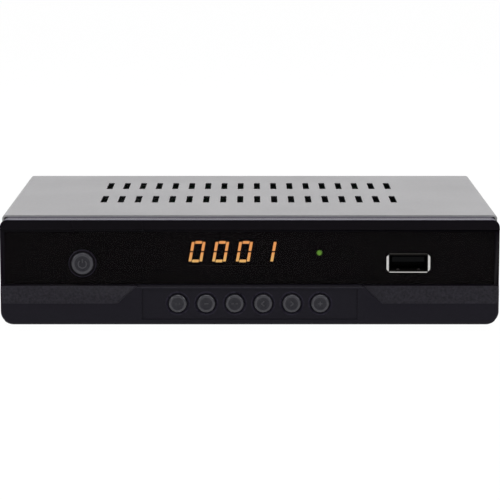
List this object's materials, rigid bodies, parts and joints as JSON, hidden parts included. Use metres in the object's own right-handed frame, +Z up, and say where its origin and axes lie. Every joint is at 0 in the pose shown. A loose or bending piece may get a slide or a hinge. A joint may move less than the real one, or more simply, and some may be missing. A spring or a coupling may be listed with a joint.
{
  "type": "satellite tv receiver",
  "caption": "Flat set-top satellite receiver: folded steel case, glossy black front with LED display, push buttons and a front socket.",
  "frame": {"origin": "on the surface the feet stand on, under the middle of the whole object's box, rear studs included", "axes": "+X to the right seen from the front, +Y from the front face to the rear sockets, +Z up"},
  "size_m": [0.168, 0.1216, 0.0388],
  "materials": {
    "front_plastic": "moulded black ABS, fine spark texture",
    "window_acrylic": "smoked acrylic, polished",
    "cover_paint": "silver-grey paint on folded steel",
    "tray_steel": "zinc-plated sheet",
    "foot_rubber": "moulded rubber",
    "button_plastic": "satin dark grey ABS",
    "switch_plastic": "moulded",
    "plunger_plastic": "moulded",
    "board_laminate": "green solder mask on glass laminate",
    "display_plastic": "black moulded reflector block",
    "lit_bars": "diffusing resin, lit amber",
    "dark_bars": "diffusing resin, unlit",
    "lamp_lens": "tinted epoxy, lit green",
    "receiver_resin": "infrared-pass black epoxy",
    "socket_steel": "nickel-plated steel shell",
    "tongue_plastic": "moulded",
    "contact_plating": "gold-flashed contacts",
    "tinplate": "bright tinplate",
    "stud_plating": "nickel-plated",
    "insulator_plastic": "natural moulded insulator",
    "nut_plating": "nickel-plated",
    "scart_plastic": "moulded black",
    "audio_plastic": "orange moulded",
    "ring_plating": "nickel-plated",
    "supply_plastic": "moulded black",
    "chip_resin": "moulded epoxy",
    "sink_aluminium": "black anodised extrusion",
    "capacitor_sleeve": "shrink sleeve over aluminium",
    "coil_ferrite": "ferrite",
    "ribbon_film": "white polyester film",
    "ribbon_socket_plastic": "moulded natural",
    "screw_zinc": "zinc-plated",
    "cover_screw_steel": "black oxide"
  },
  "bodies": {
    "case": {"audio_ring": "ring_plating", "audio_socket": "audio_plastic", "capacitors": "capacitor_sleeve", "chassis_tray": "tray_steel", "cover_screws": "cover_screw_steel", "display_dark_bars": "dark_bars", "display_lit_bars": "lit_bars", "display_module": "display_plastic", "foot_front_left": "foot_rubber", "foot_front_right": "foot_rubber", "foot_rear_left": "foot_rubber", "foot_rear_right": "foot_rubber", "front_bezel": "front_plastic", "front_board": "board_laminate", "front_window": "window_acrylic", "hdmi_shell": "socket_steel", "hdmi_tongue": "tongue_plastic", "heat_sink": "sink_aluminium", "lnb_in_stud": "stud_plating", "loop_out_stud": "stud_plating", "main_board": "board_laminate", "main_chip": "chip_resin", "memory_chip": "chip_resin", "panel_1_switch": "switch_plastic", "panel_2_switch": "switch_plastic", "panel_3_switch": "switch_plastic", "panel_4_switch": "switch_plastic", "panel_5_switch": "switch_plastic", "panel_6_switch": "switch_plastic", "power_coils": "coil_ferrite", "power_switch": "switch_plastic", "remote_receiver": "receiver_resin", "ribbon_cable": "ribbon_film", "ribbon_sockets": "ribbon_socket_plastic", "scart_socket": "scart_plastic", "small_screws": "screw_zinc", "status_lamp": "lamp_lens", "stud_insulators": "insulator_plastic", "stud_nuts": "nut_plating", "supply_pin": "stud_plating", "supply_socket": "supply_plastic", "top_cover": "cover_paint", "tuner_can": "tinplate", "usb_contacts": "contact_plating", "usb_shell": "socket_steel", "usb_tongue": "tongue_plastic"},
    "power_key": {"power_button": "button_plastic", "power_plunger": "plunger_plastic"},
    "panel_1_key": {"panel_1_button": "button_plastic", "panel_1_plunger": "plunger_plastic"},
    "panel_2_key": {"panel_2_button": "button_plastic", "panel_2_plunger": "plunger_plastic"},
    "panel_3_key": {"panel_3_button": "button_plastic", "panel_3_plunger": "plunger_plastic"},
    "panel_4_key": {"panel_4_button": "button_plastic", "panel_4_plunger": "plunger_plastic"},
    "panel_5_key": {"panel_5_button": "button_plastic", "panel_5_plunger": "plunger_plastic"},
    "panel_6_key": {"panel_6_button": "button_plastic", "panel_6_plunger": "plunger_plastic"}
  },
  "joints": [
    {"name": "power_press", "type": "slide", "parent": "case", "child": "power_key", "axis": [0, 1, 0], "range_m": [0, 0.0005], "stiffness_N_per_m": 800, "springref_m": -0.001},
    {"name": "panel_1_press", "type": "slide", "parent": "case", "child": "panel_1_key", "axis": [0, 1, 0], "range_m": [0, 0.0005], "stiffness_N_per_m": 800, "springref_m": -0.001},
    {"name": "panel_2_press", "type": "slide", "parent": "case", "child": "panel_2_key", "axis": [0, 1, 0], "range_m": [0, 0.0005], "stiffness_N_per_m": 800, "springref_m": -0.001},
    {"name": "panel_3_press", "type": "slide", "parent": "case", "child": "panel_3_key", "axis": [0, 1, 0], "range_m": [0, 0.0005], "stiffness_N_per_m": 800, "springref_m": -0.001},
    {"name": "panel_4_press", "type": "slide", "parent": "case", "child": "panel_4_key", "axis": [0, 1, 0], "range_m": [0, 0.0005], "stiffness_N_per_m": 800, "springref_m": -0.001},
    {"name": "panel_5_press", "type": "slide", "parent": "case", "child": "panel_5_key", "axis": [0, 1, 0], "range_m": [0, 0.0005], "stiffness_N_per_m": 800, "springref_m": -0.001},
    {"name": "panel_6_press", "type": "slide", "parent": "case", "child": "panel_6_key", "axis": [0, 1, 0], "range_m": [0, 0.0005], "stiffness_N_per_m": 800, "springref_m": -0.001}
  ]
}
